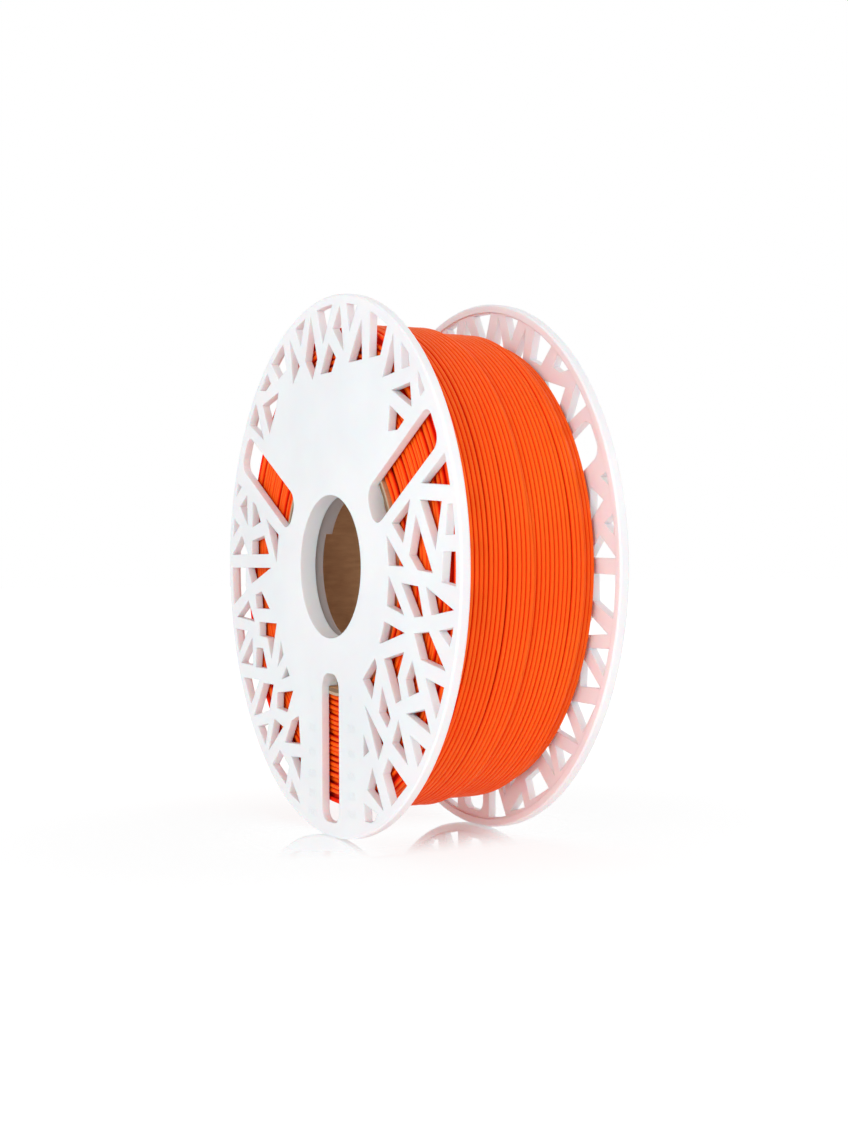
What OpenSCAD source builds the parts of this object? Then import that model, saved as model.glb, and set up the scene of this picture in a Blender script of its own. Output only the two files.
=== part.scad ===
// Filament spool: two lattice flanges pressed onto a cardboard core that carries one wound strand.
// The axis of the spool lies along Y, Z is up, and the origin is the middle of the spool.

/* [Spool] */
// Outside diameter of both flanges
flange_d = 200; // [194:1:210]
// Overall width over both flanges
spool_w = 65; // [50:1:75]
// Diameter of the bore that goes on a spindle
bore_d = 53; // [50:0.5:54]

/* [Flange] */
// Thickness of the lattice plate
plate_t = 3; // [2.5:0.1:4]
// Width of the solid rim around the cut-outs, measured along a radius
rim_w = 3.5; // [2:0.5:5]
// Height of the lip that the rim raises on its inner side
lip_h = 0.8; // [0.5:0.1:1.5]
// Step from the cut-outs out to that lip
lip_step = 0.5; // [0.3:0.1:0.8]
// Chamfer on the outer edges of the rim
rim_chamfer = 0.6; // [0.3:0.1:1]
// Width of the three long slots
slot_w = 15; // [13:0.5:18]
// Radius of the slot corners next to the hub
slot_hub_corner = 6; // [3:0.5:6]
// Radius of the slot corners next to the rim
slot_rim_corner = 4.5; // [3:0.5:6]
// Solid web left between a slot and the rim
slot_web = 2; // [1:0.5:4]
// Angle by which the rear flange sits turned on the core, clockwise as seen from the front
rear_turn = 1.5; // [0:0.5:5]

/* [Hub] */
// Height of the spigot that locates the core, past the plate
spigot_h = 3.3; // [2:0.1:5]
// Distance that each slot cuts into the spigot
spigot_cut = 5.7; // [4:0.1:7]
// Wall of the collar around the bore
collar_t = 2.5; // [2:0.1:3]
// Step from the bore out to the inside of the collar
collar_step = 1; // [0.5:0.1:1.5]
// Height of the collar past the spigot
collar_h = 3.7; // [2:0.1:5]
// Height of the two tabs past the collar
tab_h = 2.5; // [1:0.1:4]
// Angle that each collar tab covers
tab_arc = 68; // [40:1:80]
// Angle at which the first tab starts
tab_start = 85; // [0:1:90]

/* [Core] */
// Outside diameter of the cardboard core
core_od = 96; // [95:0.5:100]
// Wall of the cardboard core
core_wall = 2.5; // [2:0.1:3]
// Radial play of the spigot in the core
spigot_play = 0.3; // [0.2:0.05:0.5]

/* [Winding] */
// Diameter over the last layer of the winding
wound_d = 179; // [150:1:184]
// Width that the last layer covers, from the front end of the winding
last_layer_w = 31; // [10:1:45]
// Diameter of the strand
strand_d = 1.75; // [1.7:0.05:1.8]
// Gap between neighbouring turns of the outer layer, at least
turn_gap = 0.6; // [0.5:0.05:1]
// Play between the winding and the pieces that it lies against
wound_play = 0.3; // [0.2:0.05:0.5]

/* [Hidden] */

$fn = 96;
cut_past = 1;          // how far a cutter runs past the faces it cuts
slot_angles = [30, 150, 270];
tab_turns = [0, 180];

bore_r = bore_d / 2;
core_r = core_od / 2;
core_in_r = core_r - core_wall;
spigot_r = core_in_r - spigot_play;
flange_r = flange_d / 2;
rim_in_r = flange_r - rim_w;
lip_in_r = rim_in_r + lip_step;
rim_t = plate_t + lip_h;
spigot_depth = plate_t + spigot_h;
collar_depth = spigot_depth + collar_h;
tab_depth = collar_depth + tab_h;
tab_space = 180 - tab_arc;         // angle left open between one tab and the next
collar_in_r = bore_r + collar_step;
collar_r = collar_in_r + collar_t;
slot_in_r = spigot_r - spigot_cut;
slot_out_r = rim_in_r - slot_web;
inner_w = spool_w - 2 * plate_t;   // clear width between the plates

// The lattice cut-outs as drawn on the front face, X right and Z up, for an inner radius of 48
// and a rim of 97 inside. They are spread to the core and the rim that the sizes above give.
drawn_in = 48;
drawn_out = 97;
function spread(p) =
    let (r = norm(p))
    p / r * (core_r + (r - drawn_in) * (rim_in_r - core_r) / (drawn_out - drawn_in));

cut_outs_upper_right = [
    [[35, 90.5], [49, 84.5], [43, 74], [34, 74]],
    [[53, 80.5], [54, 67], [44.5, 66]],
    [[59, 77.5], [64.5, 73], [65, 68], [59, 67.5]],
    [[51.5, 61], [65.5, 62.5], [66.5, 54]],
    [[50, 56], [61, 50], [56, 47], [48.5, 47]],
    [[71, 66.5], [76, 59], [73, 57], [71.5, 60.5]],
    [[73, 28], [90, 37.5], [93.5, 26.5]],
    [[72, 22.5], [87.5, 21.5], [83, 5.5]],
    [[51, 15], [65, 23], [59.5, 8]],
    [[91.5, 20.5], [95.5, 20.5], [97, 10.5], [90, 10.5]],
    [[69, 17.5], [81, -2], [70, -1], [64, 4]],
    [[47, 11], [60, 0], [48.5, 0.5]],
    [[88.5, 5], [98, 5], [98, -6.5], [87, -5]],
];
cut_outs_lower_right = [
    [[48.5, -3], [60, -16.5], [47, -13.5]],
    [[58, -5.5], [70.5, -6.5], [74, -16.5], [67.5, -17]],
    [[76, -6.5], [95.5, -14], [80, -16]],
    [[45, -19], [60.5, -22.5], [41, -27]],
    [[67.5, -22.5], [78, -21.5], [89.5, -34], [72, -31]],
    [[85, -21], [95.5, -19.5], [92.5, -26]],
    [[44.5, -32], [60, -29], [55, -38], [58, -45.5], [53.5, -47]],
    [[37.5, -32], [39, -35], [35, -47], [27.5, -40]],
    [[43, -41.5], [49.5, -52.5], [47, -56], [40.5, -51]],
    [[66, -31.5], [71, -42], [63.5, -44], [61, -38.5]],
    [[75.5, -37], [89, -39.5], [83, -50.5]],
    [[61.5, -50], [75, -47.5], [79, -55.5]],
    [[29, -49], [44, -61.5], [40, -68]],
    [[28, -59.5], [32.5, -65.5], [28, -68]],
    [[55.5, -52.5], [62.5, -67.5], [50.5, -61]],
    [[64, -57], [76, -61], [70, -68]],
    [[47.5, -66.5], [62, -74.5], [50, -83], [43.5, -72.5]],
    [[35, -71], [44, -85.5], [31, -79.5]],
    [[28.5, -84.5], [39.5, -87], [36, -91], [29, -91]],
];
cut_outs_lower_left = [
    [[-36, -60], [-29, -57.5], [-27.5, -68.5], [-42.5, -69]],
    [[-36.5, -74], [-27, -73.5], [-28, -82.5]],
    [[-36, -83], [-28, -91.5], [-38.5, -88.5]],
    [[-47.5, -72.5], [-38.5, -78], [-42, -85.5], [-55, -79]],
    [[-53, -60.5], [-44, -63], [-59, -74]],
    [[-50, -50], [-34, -48], [-40, -57], [-50.5, -56]],
    [[-64, -47], [-53.5, -47], [-58, -57.5], [-74, -61]],
    [[-70, -65], [-59, -63], [-62.5, -72]],
    [[-85, -46], [-68.5, -46], [-77, -56.5]],
    [[-71, -33], [-64.5, -33], [-60, -41], [-72.5, -41]],
    [[-75.5, -29], [-75, -40.5], [-88, -40]],
    [[-94.5, -26], [-80.5, -26.5], [-90, -36]],
    [[-68, -22.5], [-50, -22.5], [-55.5, -37], [-60, -28.5], [-68, -28]],
    [[-46, -29], [-43.5, -34.5], [-49.5, -40]],
    [[-40.5, -39], [-37.5, -42.5], [-45.5, -44.5]],
    [[-72, -11.5], [-65.5, -10], [-57, -17], [-71, -17]],
    [[-80, -0.5], [-55.5, -0.5], [-76, -7]],
    [[-98, -0.5], [-82, -0.5], [-82.5, -10], [-98, -17]],
    [[-79.5, -14], [-73, -22.5], [-92, -21]],
];
cut_outs_upper_left = [
    [[-75.5, 10.5], [-62.5, 12.5], [-57.5, 5], [-75.5, 5]],
    [[-97, 5], [-86.5, 13], [-79.5, 5]],
    [[-60, 19], [-47.5, 12.5], [-50, 1.5]],
    [[-74.5, 26.5], [-71, 25], [-66, 18], [-75, 16]],
    [[-80.5, 29.5], [-80, 17], [-88.5, 25]],
    [[-95, 20.5], [-89, 17], [-97.5, 11.5]],
    [[-91, 35], [-86.5, 33], [-94.5, 28]],
    [[-63.5, 65], [-47, 69], [-49.5, 63], [-56.5, 53]],
    [[-70.5, 66.5], [-62.5, 51], [-79.5, 59]],
    [[-68, 71.5], [-58.5, 77.5], [-55, 73], [-60, 70.5]],
    [[-54.5, 81], [-42.5, 88], [-39, 77], [-47, 74]],
    [[-36, 88.5], [-26.5, 77], [-33, 70.5]],
    [[-30.5, 92], [-21, 95], [-25.5, 84.5]],
    [[-16, 95], [-10, 78], [-14.5, 70.5], [-21.5, 78.5]],
    [[-10.5, 97], [3.5, 97], [-5, 83]],
    [[10, 96], [13, 78.5], [3.5, 88]],
    [[0, 83], [6.5, 77], [2.5, 72], [-7.5, 72]],
    [[15.5, 96], [25, 94.5], [18, 85]],
    [[28, 88.5], [28.5, 74], [17, 74]],
];
cut_outs = concat(cut_outs_upper_right, cut_outs_lower_right, cut_outs_lower_left, cut_outs_upper_left);
// The rear flange has these besides, next to its lower slot, where the front one is left solid.
cut_outs_rear_only = [
    [[-12, -97], [-25, -94], [-12, -73]],
    [[-24, -86.5], [-24.5, -70], [-17, -70], [-19, -78]],
    [[12.5, -97], [24, -94.5], [12.5, -76]],
];

// The outer turns are one helix, which steps down a layer over half a loop where the last one ends.
// Its rings are counted per loop and around the strand.
loop_rings = 24;
ring_sides = 6;
turn_r = wound_d / 2 - strand_d / 2;
wound_w = inner_w - 2 * wound_play;
loops = floor((wound_w - strand_d) / (strand_d + turn_gap));
loop_pitch = (wound_w - strand_d) / loops;
chord_r = turn_r * cos(180 / loop_rings);
pack_r = chord_r - strand_d / 2 - wound_play;
layer_end_y = -wound_w / 2 + last_layer_w;
pack_step_y = layer_end_y - strand_d / 2 - wound_play;

function turn_angle(i) = 180 + 360 * i / loop_rings;
function ring_y(i) = -wound_w / 2 + strand_d / 2 + loop_pitch * i / loop_rings;
function step_share(i) = min(1, max(0, (ring_y(i) - layer_end_y) / (loop_pitch / 2)));
function ring_r(i) = turn_r - strand_d * step_share(i);
function turn_point(i) = [
    ring_r(i) * cos(turn_angle(i)),
    ring_y(i),
    ring_r(i) * sin(turn_angle(i))
];
function turn_radial(i) = [cos(turn_angle(i)), 0, sin(turn_angle(i))];
function turn_tangent(i) = [-sin(turn_angle(i)), 0, cos(turn_angle(i))];

last_ring = loops * loop_rings;
// Each end of the strand runs straight for one diameter before it is cut square.
strand_path = concat(
    [[turn_point(0) - strand_d * turn_tangent(0), turn_radial(0)]],
    [for (i = [0:last_ring]) [turn_point(i), turn_radial(i)]],
    [[turn_point(last_ring) + strand_d * turn_tangent(last_ring), turn_radial(last_ring)]]
);
// Each point, the two ends included, is measured against the three nearest points one loop on.
turn_gaps = [
    for (i = [0:len(strand_path) - 1], step = [loop_rings - 1:loop_rings + 1])
        if (i + step < len(strand_path))
            norm(strand_path[i + step][0] - strand_path[i][0]) - strand_d
];
echo(least_gap_between_turns = min(turn_gaps));  // filament_turns

// One flange with its outer face at z = 0, its hub pointing down and X to the right.
module flange_body() {
    rotate_extrude()
        polygon([
            [bore_r, 0],
            [flange_r - rim_chamfer, 0],
            [flange_r, -rim_chamfer],
            [flange_r, -rim_t + rim_chamfer],
            [flange_r - rim_chamfer, -rim_t],
            [lip_in_r, -rim_t],
            [lip_in_r, -plate_t],
            [spigot_r, -plate_t],
            [spigot_r, -spigot_depth],
            [collar_r, -spigot_depth],
            [collar_r, -tab_depth],
            [collar_in_r, -tab_depth],
            [collar_in_r, -spigot_depth],
            [bore_r, -spigot_depth]
        ]);
}

// A long slot along X, straight sides with rounded corners.
module slot_outline() {
    length = slot_out_r - slot_in_r;
    translate([slot_in_r, 0]) {
        translate([slot_hub_corner, -slot_w / 2])
            square([length - slot_hub_corner - slot_rim_corner, slot_w]);
        translate([0, -slot_w / 2 + slot_hub_corner])
            square([slot_hub_corner, slot_w - 2 * slot_hub_corner]);
        translate([length - slot_rim_corner, -slot_w / 2 + slot_rim_corner])
            square([slot_rim_corner, slot_w - 2 * slot_rim_corner]);
        for (side = [-1, 1]) {
            translate([slot_hub_corner, side * (slot_w / 2 - slot_hub_corner)])
                circle(r = slot_hub_corner);
            translate([length - slot_rim_corner, side * (slot_w / 2 - slot_rim_corner)])
                circle(r = slot_rim_corner);
        }
    }
}

module flange_cut_outs(lattice) {
    intersection() {
        translate([0, 0, -plate_t - cut_past])
            linear_extrude(plate_t + 2 * cut_past)
                for (corners = lattice)
                    polygon([for (p = corners) spread(p)]);
        translate([0, 0, -plate_t - 2 * cut_past])
            cylinder(r = rim_in_r, h = plate_t + 4 * cut_past);
    }
    for (angle = slot_angles)
        rotate([0, 0, angle])
            translate([0, 0, -spigot_depth - cut_past])
                linear_extrude(spigot_depth + 2 * cut_past)
                    slot_outline();
}

// The collar reaches the height of its tabs, and these gaps between the tabs lower the rest of it.
module tab_gaps() {
    for (turn = tab_turns)
        rotate([0, 0, tab_start + tab_arc + turn])
            rotate_extrude(angle = tab_space)
                translate([collar_in_r - cut_past, -tab_depth - cut_past])
                    square([collar_t + 2 * cut_past, tab_h + cut_past]);
}

module flange(lattice) {
    difference() {
        flange_body();
        flange_cut_outs(lattice);
        tab_gaps();
    }
}

module front_flange() {
    color("whitesmoke")
        translate([0, -spool_w / 2, 0])
            rotate([90, 0, 0])
                flange(cut_outs);
}

// The rear flange is turned to face the other way.
module rear_flange() {
    color("whitesmoke")
        translate([0, spool_w / 2, 0])
            rotate([0, rear_turn, 0])
                rotate([90, 0, 180])
                    flange(concat(cut_outs, cut_outs_rear_only));
}

module core_tube() {
    color("tan")
        rotate([90, 0, 0])
            difference() {
                cylinder(r = core_r, h = inner_w, center = true);
                cylinder(r = core_in_r, h = inner_w + 2 * cut_past, center = true);
            }
}

// All the layers under the outer turns, as one plain ring around the core. It is one strand lower
// behind the end of the last layer.
module filament_pack() {
    color("orangered")
        rotate([-90, 0, 0])
            rotate_extrude()
                polygon([
                    [core_r + wound_play, -wound_w / 2],
                    [pack_r, -wound_w / 2],
                    [pack_r, pack_step_y],
                    [pack_r - strand_d, pack_step_y],
                    [pack_r - strand_d, wound_w / 2],
                    [core_r + wound_play, wound_w / 2]
                ]);
}

// A tube with flat sides, swept along path; each step is a centre and its outward direction.
module swept_strand(path, d) {
    rings = len(path);
    points = [
        for (step = path, k = [0:ring_sides - 1])
            let (a = 360 * k / ring_sides)
            step[0] + d / 2 * (cos(a) * step[1] + sin(a) * [0, 1, 0])
    ];
    sides = [
        for (i = [0:rings - 2], k = [0:ring_sides - 1])
            let (
                k2 = (k + 1) % ring_sides,
                a = i * ring_sides + k,
                b = i * ring_sides + k2,
                c = a + ring_sides,
                e = b + ring_sides
            )
            each [[a, c, b], [b, c, e]]
    ];
    first_cap = [for (k = [1:ring_sides - 2]) [0, k, k + 1]];
    last = (rings - 1) * ring_sides;
    last_cap = [for (k = [1:ring_sides - 2]) [last, last + k + 1, last + k]];
    polyhedron(points = points, faces = concat(sides, first_cap, last_cap), convexity = 10);
}

module filament_turns() {
    color("orangered")
        swept_strand(strand_path, strand_d);
}

front_flange();
rear_flange();
core_tube();
filament_pack();
filament_turns();
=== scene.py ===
import bpy
import math
import random
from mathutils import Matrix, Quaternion, Vector


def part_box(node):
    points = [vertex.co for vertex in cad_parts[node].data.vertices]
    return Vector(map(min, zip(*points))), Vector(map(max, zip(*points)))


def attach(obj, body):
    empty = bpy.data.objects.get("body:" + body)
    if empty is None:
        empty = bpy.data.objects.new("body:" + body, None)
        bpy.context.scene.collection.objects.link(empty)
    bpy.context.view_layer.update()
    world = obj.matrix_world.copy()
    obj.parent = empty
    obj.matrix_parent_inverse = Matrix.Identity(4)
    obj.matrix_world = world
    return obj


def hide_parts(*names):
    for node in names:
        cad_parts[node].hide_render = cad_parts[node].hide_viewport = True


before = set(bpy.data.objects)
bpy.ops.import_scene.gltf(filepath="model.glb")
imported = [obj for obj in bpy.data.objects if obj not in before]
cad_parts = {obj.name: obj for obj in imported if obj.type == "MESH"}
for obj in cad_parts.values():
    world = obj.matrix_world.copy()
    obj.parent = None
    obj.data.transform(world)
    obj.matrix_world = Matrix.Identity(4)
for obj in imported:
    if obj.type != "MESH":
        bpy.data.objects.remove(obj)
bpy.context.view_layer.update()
print("frame loaded")


def linearColour(red, green, blue):
    # from the 0 to 255 of a colour picker to the linear light of a material
    def channel(value):
        value = value / 255
        return value / 12.92 if value <= 0.04045 else ((value + 0.055) / 1.055) ** 2.4
    return (channel(red), channel(green), channel(blue), 1)


def grey(value):
    return (value, value, value, 1)


def addObject(name, data):
    item = bpy.data.objects.new(name, data)
    bpy.context.scene.collection.objects.link(item)
    return item


def addMesh(name, vertices, faces):
    mesh = bpy.data.meshes.new(name)
    mesh.from_pydata(vertices, [], faces)
    mesh.update()
    return addObject(name, mesh)


def newMaterial(name):
    material = bpy.data.materials.new(name)
    material.use_nodes = True
    tree = material.node_tree
    return material, tree, tree.nodes["Principled BSDF"]


def addNode(tree, kind, **settings):
    node = tree.nodes.new(kind)
    for key, value in settings.items():
        if key in node.inputs:
            node.inputs[key].default_value = value
        else:
            setattr(node, key, value)
    return node


def setSockets(node, values):
    for name, value in values.items():
        node.inputs[name].default_value = value


def feed(tree, socket, value):
    # the value is another node's output, a plain value, or nothing
    if isinstance(value, bpy.types.NodeSocket):
        tree.links.new(value, socket)
    elif value is not None:
        socket.default_value = value


def mathNode(tree, operation, first, second=None):
    node = addNode(tree, "ShaderNodeMath", operation=operation)
    feed(tree, node.inputs[0], first)
    feed(tree, node.inputs[1], second)
    return node.outputs[0]


def mixNode(tree, factor, first, second, blend="MIX"):
    node = addNode(tree, "ShaderNodeMix", data_type="RGBA", blend_type=blend)
    feed(tree, node.inputs["Factor"], factor)
    feed(tree, node.inputs[6], first)  # 6 and 7 are the node's two colours
    feed(tree, node.inputs[7], second)
    return node.outputs[2]


def noiseNode(tree, scale, detail, roughness=0.5, stretch=(1, 1, 1)):
    place = addNode(tree, "ShaderNodeTexCoord")
    mapping = addNode(tree, "ShaderNodeMapping", Scale=stretch)
    noise = addNode(tree, "ShaderNodeTexNoise", Scale=scale, Detail=detail, Roughness=roughness)
    tree.links.new(place.outputs["Object"], mapping.inputs["Vector"])
    tree.links.new(mapping.outputs["Vector"], noise.inputs["Vector"])
    return noise.outputs["Fac"]


def rampNode(tree, source, stops):
    ramp = addNode(tree, "ShaderNodeValToRGB")
    elements = ramp.color_ramp.elements
    elements[0].position, elements[0].color = stops[0]
    elements[1].position, elements[1].color = stops[-1]
    for position, colour in stops[1:-1]:
        elements.new(position).color = colour
    tree.links.new(source, ramp.inputs["Fac"])
    return ramp.outputs["Color"]


def greyRamp(tree, source, start, end, levels):
    return rampNode(tree, source, [(start, grey(levels[0])), (end, grey(levels[1]))])


def addBump(tree, shader, height, strength, distance, normal=None):
    bump = addNode(tree, "ShaderNodeBump", Strength=strength, Distance=distance)
    tree.links.new(height, bump.inputs["Height"])
    feed(tree, bump.inputs["Normal"], normal)
    tree.links.new(bump.outputs["Normal"], shader.inputs["Normal"])
    return bump.outputs["Normal"]


def placeNode(tree):
    # x, y and z of each point, in the frame of the part
    place = addNode(tree, "ShaderNodeTexCoord")
    split = addNode(tree, "ShaderNodeSeparateXYZ")
    tree.links.new(place.outputs["Object"], split.inputs["Vector"])
    return split.outputs["X"], split.outputs["Y"], split.outputs["Z"]


def lengthNode(tree, first, second):
    squares = [mathNode(tree, "MULTIPLY", side, side) for side in (first, second)]
    return mathNode(tree, "SQRT", mathNode(tree, "ADD", *squares))


camera = {
    "place": (0.58467, -0.30283, 0.00209),
    "looks": (-0.88357, 0.46829, -0.00254),
    "roll": -0.275,  # degrees
    "lens": 55.42,  # millimetres
    "sensor": 36,  # millimetres
}

cameraData = bpy.data.cameras.new("camera")
cameraData.sensor_width = camera["sensor"]
cameraData.lens = camera["lens"]
cameraObject = addObject("camera", cameraData)
cameraObject.location = camera["place"]
aim = Vector(camera["looks"]).to_track_quat("-Z", "Y")
roll = Quaternion((0, 0, 1), math.radians(camera["roll"]))
cameraObject.rotation_euler = (aim @ roll).to_euler()
bpy.context.scene.camera = cameraObject
print("camera placed")


flangeLook = {
    "colour": linearColour(241, 243, 245),
    "shade": linearColour(234, 236, 239),
    "cloudScale": 18,
    "roughness": (0.39, 0.53),
    "glossScale": 240,
    "sinkScale": 60,  # shallow waves of the moulding
    "sinkStrength": 0.15,
    "sinkDepth": 0.0002,
    "grainScale": 2600,
    "grainStrength": 0.35,
    "grainDepth": 0.00003,
    "edgeRadius": 0.0004,
    "translucence": 0.5,
    # inside of the collar: painted shade, a greyer tone standing in for the shade deep inside the bore
    "collar": linearColour(178, 170, 168),
    "collarRadius": 0.0279,
    "collarFrom": 0.0262,
    "shader": {
        "Subsurface Radius": (0.004, 0.0012, 0.0009),
        "Subsurface Scale": 1.0,
        "IOR": 1.48,
        "Specular IOR Level": 0.35,
    },
}


def flangeMaterial(name, translucence, edgeRadius):
    look = flangeLook
    material, tree, shader = newMaterial(name)
    cloud = noiseNode(tree, look["cloudScale"], 3)
    tone = rampNode(tree, cloud, [(0.35, look["shade"]), (0.65, look["colour"])])
    x, y, z = placeNode(tree)
    # painted shade: inside the collar's radius and deep in the spool the colour turns to the darker collar
    # grey
    shadeWithin = mathNode(tree, "LESS_THAN", lengthNode(tree, x, z), look["collarRadius"])
    shadeDeep = mathNode(tree, "LESS_THAN", mathNode(tree, "ABSOLUTE", y), look["collarFrom"])
    colour = mixNode(tree, mathNode(tree, "MULTIPLY", shadeWithin, shadeDeep), tone, look["collar"])
    tree.links.new(colour, shader.inputs["Base Color"])
    gloss = greyRamp(tree, noiseNode(tree, look["glossScale"], 4), 0.3, 0.7, look["roughness"])
    tree.links.new(gloss, shader.inputs["Roughness"])
    edge = addNode(tree, "ShaderNodeBevel", Radius=edgeRadius).outputs["Normal"]
    waves = noiseNode(tree, look["sinkScale"], 2)
    sink = addBump(tree, shader, waves, look["sinkStrength"], look["sinkDepth"], edge)
    grain = noiseNode(tree, look["grainScale"], 3)
    addBump(tree, shader, grain, look["grainStrength"], look["grainDepth"], sink)
    setSockets(shader, look["shader"])
    shader.inputs["Subsurface Weight"].default_value = translucence
    return material


plastic = flangeMaterial("flangePlastic", flangeLook["translucence"], flangeLook["edgeRadius"])
for name in ("front_flange", "rear_flange"):
    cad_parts[name].data.materials.clear()
    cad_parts[name].data.materials.append(plastic)
print("flanges finished")


# raised numbers beside the lower slot, at equal steps of what is left on the spool
scaleLook = {
    "numbers": ("0", "200", "400", "600", "800", "1000"),
    "size": 0.0042,
    "rise": 0.00006,
    "curveSteps": 4,
    "edgeRadius": 0.00003,
    # middle of the column, radius of its first number, step of the radius squared
    "columns": [(-0.0165, 0.050, 0.001215), (0.0175, 0.048, 0.001145)],
}


def numberMesh(text, x, z):
    curve = bpy.data.curves.new("number", "FONT")
    curve.body = text
    curve.size = scaleLook["size"]
    curve.extrude = scaleLook["rise"]
    curve.resolution_u = scaleLook["curveSteps"]
    curve.align_x = "CENTER"
    curve.align_y = "CENTER"
    number = addObject("number", curve)
    mesh = bpy.data.meshes.new_from_object(number)
    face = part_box("front_flange")[0][1]
    vertices = [(x + corner.co.x, face - corner.co.z, z + corner.co.y) for corner in mesh.vertices]
    faces = [tuple(polygon.vertices) for polygon in mesh.polygons]
    bpy.data.objects.remove(number)
    bpy.data.curves.remove(curve)
    bpy.data.meshes.remove(mesh)
    return vertices, faces


def scalePiece():
    vertices, faces = [], []
    for x, start, step in scaleLook["columns"]:
        for index, text in enumerate(scaleLook["numbers"]):
            newVertices, newFaces = numberMesh(text, x, -math.sqrt(start * start + step * index))
            faces.extend(tuple(len(vertices) + corner for corner in face) for face in newFaces)
            vertices.extend(newVertices)
    piece = addMesh("flange.scale", vertices, faces)
    piece.data.materials.append(flangeMaterial("scalePlastic", 0, scaleLook["edgeRadius"]))
    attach(piece, "front_flange")


scalePiece()
print("scale made")


coreLook = {
    "paper": linearColour(212, 162, 118),
    "paperDark": linearColour(190, 140, 98),
    "paperRoughness": (0.8, 0.95),
    "fibreScale": 420,
    "fibreStretch": (1, 0.25, 1),
    "fibreStrength": 0.5,
    "fibreDepth": 0.0002,
    # the cut ends of the tube: painted shade, dark brown inside a radius where the inner edge lies in
    # shadow, paler outside it
    "cut": linearColour(200, 176, 150),
    "cutDark": linearColour(178, 150, 124),
    "cutScale": 700,
    "cutPaintedShade": linearColour(130, 104, 80),
    "cutShadeRadius": 0.0469,
    # one seam that runs round the tube as a spiral
    "wrapWidth": 0.045,
    "seamShare": 0.03,
    "seamShade": 0.35,
    "seamStrength": 0.4,
    "seamDepth": 0.0003,
}


def coreMaterial():
    look = coreLook
    material, tree, shader = newMaterial("cardboard")
    x, y, z = placeNode(tree)
    fibre = noiseNode(tree, look["fibreScale"], 5, 0.65, look["fibreStretch"])
    paper = rampNode(tree, fibre, [(0.3, look["paperDark"]), (0.7, look["paper"])])

    turn = mathNode(tree, "DIVIDE", mathNode(tree, "ARCTAN2", z, x), 2 * math.pi)
    wrap = mathNode(tree, "ADD", turn, mathNode(tree, "DIVIDE", y, look["wrapWidth"]))
    stops = [(0.0, grey(0.0)), (look["seamShare"], grey(1.0)), (1.0, grey(1.0))]
    seam = rampNode(tree, mathNode(tree, "FRACT", wrap), stops)
    wall = mixNode(tree, look["seamShade"], paper, seam, "MULTIPLY")

    speckle = noiseNode(tree, look["cutScale"], 4, 0.6)
    pale = rampNode(tree, speckle, [(0.3, look["cutDark"]), (0.7, look["cut"])])
    # painted shade on the inner part of the cut end, inside the radius
    shadeWithin = mathNode(tree, "LESS_THAN", lengthNode(tree, x, z), look["cutShadeRadius"])
    cut = mixNode(tree, shadeWithin, pale, look["cutPaintedShade"])

    facing = addNode(tree, "ShaderNodeNewGeometry")
    normal = addNode(tree, "ShaderNodeSeparateXYZ")
    tree.links.new(facing.outputs["Normal"], normal.inputs["Vector"])
    atEnd = mathNode(tree, "GREATER_THAN", mathNode(tree, "ABSOLUTE", normal.outputs["Y"]), 0.5)
    tree.links.new(mixNode(tree, atEnd, wall, cut), shader.inputs["Base Color"])

    rough = greyRamp(tree, fibre, 0.2, 0.8, look["paperRoughness"])
    tree.links.new(rough, shader.inputs["Roughness"])
    first = addBump(tree, shader, seam, look["seamStrength"], look["seamDepth"])
    addBump(tree, shader, fibre, look["fibreStrength"], look["fibreDepth"], first)
    return material


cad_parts["core_tube"].data.materials.clear()
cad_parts["core_tube"].data.materials.append(coreMaterial())
print("core finished")


winding = {
    "strand": 0.00168,
    "turns": 32,
    "coreRadius": 0.0483,
    "halfWidth": 0.0291,
    "sides": 8,
    "ringsPerTurn": 144,
    # outside radius along the axis: the last layer stops at 1 mm, and the turns by the rear flange lie low
    "profile": [
        (-0.0291, 0.0878), (-0.0258, 0.0892), (-0.012, 0.0895), (0.00085, 0.0897), (0.0011, 0.0880),
        (0.0200, 0.0879), (0.0222, 0.0876), (0.0226, 0.0860), (0.0275, 0.0852), (0.0291, 0.0846),
    ],
    "spreadsPerTurn": 5,  # places in each turn at which its gap to the next one changes
    "looseShare": 0.35,  # share of those places with a wider gap
    "tightGap": 0.5,  # size of the other gaps against a wide one
    # the widest gaps: turn that they follow, angle in degrees, spread in degrees, size against a loose one
    "grooves": [
        (7, 45, 45, 3.5), (10, -15, 55, 4.5), (26, 3, 35, 2.0), (3, -30, 60, 1.5),
        (14, 75, 50, 1.5), (21, -60, 50, 2.0), (29, 20, 60, 2.0), (12, 190, 60, 3.0), (24, 230, 60, 3.0),
    ],
    "unevenHeight": 0.00012,
    # side turns: radial step between them in strands, and how far each one stands back, leans and bends
    "sideStep": (1.04, 1.3),
    "sideInsets": [0.0, 0.0001, 0.0002, 0.0005, 0.0009],
    "sideClearance": 0.0003,
    "sideLean": 0.0002,
    "sideBend": 0.00025,
    # inner body: depth under the outer turns in strands, and behind the side turns in strand radii
    "bodyDrop": 1.1,
    "bodyDepth": 3.0,
    "bodySegments": 192,
    "bodyStations": 40,
    "seed": 7,
}

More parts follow.
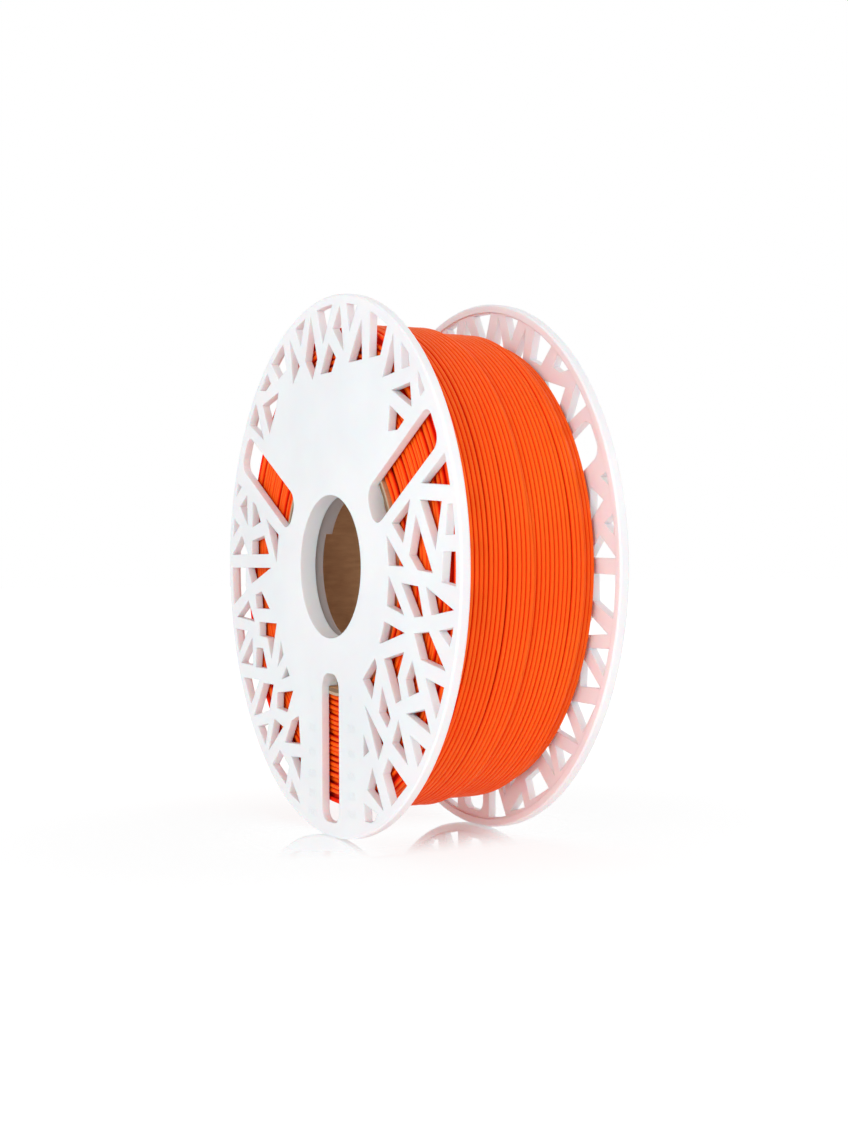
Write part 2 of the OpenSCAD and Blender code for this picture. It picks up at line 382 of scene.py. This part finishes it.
strandLook = {
    "crest": linearColour(255, 102, 10),
    "crestDark": linearColour(255, 93, 4),
    "cloudScale": 26,
    # sides of each strand, toward the gaps: painted shade, a deeper red than the crest that stands in for
    # the dim red light between the strands
    "flankPaintedShade": linearColour(255, 38, 0),
    "flankRoughness": 0.9,  # the gaps between the strands hardly shine
    "crestRoughness": (0.44, 0.56),
    "glossScale": 600,
    "grainScale": 1800,
    "grainStrength": 0.2,
    "grainDepth": 0.00003,
    "shader": {
        "Subsurface Weight": 0.15,
        "Subsurface Radius": (0.0012, 0.0002, 0.0001),
        "Subsurface Scale": 1.0,
        "IOR": 1.46,
        "Specular IOR Level": 0.18,
    },
}

strandRadius = winding["strand"] / 2


def outwardAt(angle):
    return Vector((math.cos(angle), 0, math.sin(angle)))


def sweepTube(points, outwards, closed=False):
    sides = winding["sides"]
    vertices, faces = [], []
    # the crest values also set where the strand's sides take painted shade
    crests = []  # 1 on the outer line of the strand, 0 halfway down its sides
    count = len(points)
    for index in range(count):
        before = points[index - 1] if index or closed else points[0]
        after = points[(index + 1) % count] if index < count - 1 or closed else points[-1]
        forward = (after - before).normalized()
        across = forward.cross(outwards[index]).normalized()
        outward = across.cross(forward).normalized()
        for side in range(sides):
            angle = 2 * math.pi * side / sides
            reach = math.cos(angle) * outward + math.sin(angle) * across
            vertices.append(points[index] + strandRadius * reach)
            crests.append(max(0.0, math.cos(angle)))
    for index in range(count if closed else count - 1):
        here = index * sides
        there = ((index + 1) % count) * sides
        for side in range(sides):
            nextSide = (side + 1) % sides
            faces.append((here + side, here + nextSide, there + nextSide, there + side))
    if not closed:
        last = (count - 1) * sides
        faces.append(tuple(range(sides - 1, -1, -1)))
        faces.append(tuple(range(last, last + sides)))
    return vertices, faces, crests


def strandPiece(name, parts):
    vertices, faces, crests = [], [], []
    for partVertices, partFaces, partCrests in parts:
        start = len(vertices)
        vertices.extend(tuple(vertex) for vertex in partVertices)
        crests.extend(partCrests)
        faces.extend(tuple(start + corner for corner in face) for face in partFaces)
    piece = addMesh(name, vertices, faces)
    piece.data.attributes.new("crest", "FLOAT", "POINT").data.foreach_set("value", crests)
    for polygon in piece.data.polygons:
        polygon.use_smooth = True
    return piece


def strandMaterial():
    look = strandLook
    material, tree, shader = newMaterial("filamentStrand")
    cloud = noiseNode(tree, look["cloudScale"], 2)
    tone = rampNode(tree, cloud, [(0.3, look["crestDark"]), (0.7, look["crest"])])
    crest = addNode(tree, "ShaderNodeAttribute", attribute_name="crest")
    # the crest attribute mixes the crest colour with the painted shade of the strand's sides
    reach = greyRamp(tree, crest.outputs["Fac"], 0.1, 0.85, (0, 1))
    tree.links.new(mixNode(tree, reach, look["flankPaintedShade"], tone), shader.inputs["Base Color"])
    gloss = greyRamp(tree, noiseNode(tree, look["glossScale"], 3), 0.3, 0.7, look["crestRoughness"])
    shine = mixNode(tree, reach, grey(look["flankRoughness"]), gloss)
    tree.links.new(shine, shader.inputs["Roughness"])
    grain = noiseNode(tree, look["grainScale"], 2)
    addBump(tree, shader, grain, look["grainStrength"], look["grainDepth"])
    setSockets(shader, look["shader"])
    return material


def profileRadius(y):
    points = winding["profile"]
    for (y0, r0), (y1, r1) in zip(points, points[1:]):
        if y <= y1:
            share = max(0.0, (y - y0) / (y1 - y0))
            return r0 + (r1 - r0) * share
    return points[-1][1]


def wander(chance, size):
    waves = []
    for count in (1, 2, 3):
        waves.append((count, chance.uniform(-size, size) / count, chance.uniform(0, 2 * math.pi)))
    return lambda angle: sum(high * math.sin(count * angle + start) for count, high, start in waves)


def smoothAlong(values, perTurn, turn):
    # values stand at equal steps along the strand and are joined by smooth curves
    place = min(max(turn * perTurn, 0), len(values) - 1.001)
    index = int(place)
    share = (1 - math.cos(math.pi * (place - index))) / 2
    return values[index] * (1 - share) + values[index + 1] * share


def turnGaps(chance):
    # gap between each turn and the next one, for every ring around the spool, never below nothing
    turns, rings, spreads = winding["turns"], winding["ringsPerTurn"], winding["spreadsPerTurn"]
    loose = [chance.random() for _ in range((turns + 1) * spreads + 1)]
    loose = [1 + value if value < winding["looseShare"] else winding["tightGap"] for value in loose]
    gaps = []
    for step in range((turns - 1) * rings + 1):
        turn = step / rings
        gap = smoothAlong(loose, spreads, turn)
        for grooveTurn, angle, spread, size in winding["grooves"]:
            away = (turn - grooveTurn - (angle % 360 - 180) / 360) * 360 / spread
            gap += size * math.exp(-away * away)
        gaps.append(gap * min(1.0, turn, turns - 1 - turn))
    # at every angle the gaps add up to the room that the turns leave
    room = 2 * (winding["halfWidth"] - strandRadius) - turns * winding["strand"]
    sums = [sum(gaps[ring::rings]) for ring in range(rings)]
    return [gap * room / sums[step % rings] for step, gap in enumerate(gaps)]


def outerTurns():
    chance = random.Random(winding["seed"])
    strand, turns, rings = winding["strand"], winding["turns"], winding["ringsPerTurn"]
    spreads, height = winding["spreadsPerTurn"], winding["unevenHeight"]
    gaps = turnGaps(chance)
    uneven = [chance.uniform(-1, 1) * height for _ in range((turns + 1) * spreads + 1)]
    places = [strand * ring / rings - winding["halfWidth"] + strandRadius for ring in range(rings)]
    for step in range(rings, turns * rings + 1):
        places.append(places[step - rings] + strand + gaps[step - rings])
    points, outwards = [], []
    for step, place in enumerate(places):
        outward = outwardAt(math.pi + 2 * math.pi * step / rings)
        rise = smoothAlong(uneven, spreads, step / rings)
        points.append(outward * (profileRadius(place) - strandRadius + rise) + Vector((0, place, 0)))
        outwards.append(outward)
    return sweepTube(points, outwards)


def sideTurns(side):
    chance = random.Random(winding["seed"] + (1 if side < 0 else 2))
    parts = []
    radius = winding["coreRadius"] + strandRadius
    limit = profileRadius(side * winding["halfWidth"]) - winding["strand"]
    rings, clearance = winding["ringsPerTurn"], winding["sideClearance"]
    while radius < limit:
        inset = chance.choice(winding["sideInsets"])
        lean = wander(chance, winding["sideLean"])
        bend = wander(chance, winding["sideBend"])
        points = []
        for step in range(rings):
            angle = 2 * math.pi * step / rings
            depth = winding["halfWidth"] - strandRadius - inset - clearance + min(clearance, lean(angle))
            points.append(outwardAt(angle) * (radius + bend(angle)) + Vector((0, side * depth, 0)))
        parts.append(sweepTube(points, [Vector((0, side, 0))] * rings, closed=True))
        radius += winding["strand"] * chance.uniform(*winding["sideStep"])
    return parts


def innerBody():
    # the layers behind the visible turns, so that nothing shows through between them
    segments, stations = winding["bodySegments"], winding["bodyStations"]
    half = winding["halfWidth"] - strandRadius * winding["bodyDepth"]
    drop = winding["bodyDrop"] * winding["strand"]
    inner = winding["coreRadius"]
    along = [-half + 2 * half * index / stations for index in range(stations + 1)]
    outline = [(inner, -half)] + [(profileRadius(y) - drop, y) for y in along] + [(inner, half)]
    count = len(outline)
    vertices, faces = [], []
    for segment in range(segments):
        outward = outwardAt(2 * math.pi * segment / segments)
        vertices.extend((radius * outward.x, y, radius * outward.z) for radius, y in outline)
        here = segment * count
        there = ((segment + 1) % segments) * count
        for corner in range(count):
            nextCorner = (corner + 1) % count
            faces.append((here + corner, here + nextCorner, there + nextCorner, there + corner))
    # the body has crest 0 everywhere, so all of it takes the painted shade of the strands' sides
    return vertices, faces, [0.0] * len(vertices)


orange = strandMaterial()
outerPiece = strandPiece("filament.outer", [outerTurns()])
sidePiece = strandPiece("filament.layers", sideTurns(-1) + sideTurns(1) + [innerBody()])
for piece in (outerPiece, sidePiece):
    piece.data.materials.append(orange)
    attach(piece, "core")
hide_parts("filament_turns")
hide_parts("filament_pack")
print("winding made")


studio = {
    "floor": -0.1,
    "floorReach": 6,
    "floorTone": grey(0.9),
    "floorGlow": 0.24,  # light that a lit table gives back to the spool
    "shadowTone": grey(0.16),
    # plain white that the floor shows beside the shadow, and where it turns to full white
    "floorWhite": 0.86,
    "whiteFrom": 0.05,
    "whiteTo": 0.35,
    # the floor is polished: it mirrors near the foot of the spool, and hardly from above
    "footLength": 0.0325,
    "mirror": 1.0,
    "mirrorReach": 0.055,
    "mirrorSlant": 0.5,
    "mirrorRoughness": 0.03,
    "worldLevel": 0.48,
    # place in metres, size in metres, power in watts
    "lights": {
        "front": ((0.64, -1.11, 0.23), (0.8, 0.8), 7.4),
        "side": ((1.25, 0.11, 0.34), (0.8, 0.8), 2.5),
        "behind": ((0.22, 1.16, 0.55), (0.8, 0.8), 3.5),
        "above": ((0.12, -0.05, 1.3), (0.8, 0.8), 2.2),
    },
}


def footDistance(tree):
    # distance on the floor from the line on which the spool stands
    x, y = placeNode(tree)[:2]
    past = mathNode(tree, "SUBTRACT", mathNode(tree, "ABSOLUTE", y), studio["footLength"])
    return lengthNode(tree, x, mathNode(tree, "MAXIMUM", past, 0.0))


def fade(tree, source, start, end, first, last):
    node = addNode(tree, "ShaderNodeMapRange", interpolation_type="SMOOTHSTEP")
    setSockets(node, {"From Min": start, "From Max": end, "To Min": first, "To Max": last})
    tree.links.new(source, node.inputs["Value"])
    return node.outputs["Result"]


def joinShaders(tree, kind, *sources):
    node = addNode(tree, kind)
    for socket, source in zip(node.inputs, sources):
        tree.links.new(source, socket)
    return node.outputs[0]


def seenPlainly(tree):
    # 1 where the camera, a gloss or a clear material looks at the surface
    path = addNode(tree, "ShaderNodeLightPath")
    direct = mathNode(tree, "MAXIMUM", path.outputs["Is Camera Ray"], path.outputs["Is Glossy Ray"])
    return mathNode(tree, "MAXIMUM", direct, path.outputs["Is Transmission Ray"])


def floorSurface():
    material, tree, shader = newMaterial("floor")
    tree.nodes.remove(shader)
    distance = footDistance(tree)

    # what the camera sees
    white = addNode(tree, "ShaderNodeEmission", Color=grey(1))
    level = fade(tree, distance, studio["whiteFrom"], studio["whiteTo"], studio["floorWhite"], 1.0)
    tree.links.new(level, white.inputs["Strength"])
    shade = addNode(tree, "ShaderNodeBsdfDiffuse", Color=studio["shadowTone"])
    seen = joinShaders(tree, "ShaderNodeAddShader", white.outputs[0], shade.outputs[0])
    mirror = addNode(tree, "ShaderNodeBsdfGlossy", Color=grey(1), Roughness=studio["mirrorRoughness"])
    slant = addNode(tree, "ShaderNodeLayerWeight", Blend=studio["mirrorSlant"])
    nearFoot = fade(tree, distance, 0.0, studio["mirrorReach"], studio["mirror"], 0.0)
    share = mathNode(tree, "MULTIPLY", nearFoot, slant.outputs["Facing"])
    polished = joinShaders(tree, "ShaderNodeMixShader", share, seen, mirror.outputs[0])

    # what lights the spool from below
    matt = addNode(tree, "ShaderNodeBsdfDiffuse", Color=studio["floorTone"])
    glow = addNode(tree, "ShaderNodeEmission", Color=grey(1), Strength=studio["floorGlow"])
    lit = joinShaders(tree, "ShaderNodeAddShader", matt.outputs[0], glow.outputs[0])

    surface = joinShaders(tree, "ShaderNodeMixShader", seenPlainly(tree), lit, polished)
    tree.links.new(surface, tree.nodes["Material Output"].inputs["Surface"])
    return material


def makeFloor():
    reach, low = studio["floorReach"], studio["floor"]
    corners = [(-reach, -reach, low), (reach, -reach, low), (reach, reach, low), (-reach, reach, low)]
    piece = addMesh("floor", corners, [(0, 1, 2, 3)])
    piece.data.materials.append(floorSurface())


def makeWorld():
    world = bpy.data.worlds.new("studio")
    bpy.context.scene.world = world
    world.use_nodes = True
    tree = world.node_tree
    lit = tree.nodes["Background"]
    setSockets(lit, {"Color": grey(1), "Strength": studio["worldLevel"]})
    seen = addNode(tree, "ShaderNodeBackground", Color=grey(1), Strength=1.0)
    mixed = joinShaders(tree, "ShaderNodeMixShader", seenPlainly(tree), lit.outputs[0], seen.outputs[0])
    tree.links.new(mixed, tree.nodes["World Output"].inputs["Surface"])


def areaLight(name, place, size, power):
    data = bpy.data.lights.new(name, "AREA")
    data.shape = "RECTANGLE"
    data.size, data.size_y = size
    data.energy = power
    light = addObject(name, data)
    light.location = place
    light.rotation_euler = (-Vector(place)).to_track_quat("-Z", "Y").to_euler()


makeFloor()
makeWorld()
for name, (place, size, power) in studio["lights"].items():
    areaLight(name, place, size, power)
bpy.context.scene.view_settings.view_transform = "Standard"
print("studio lit")
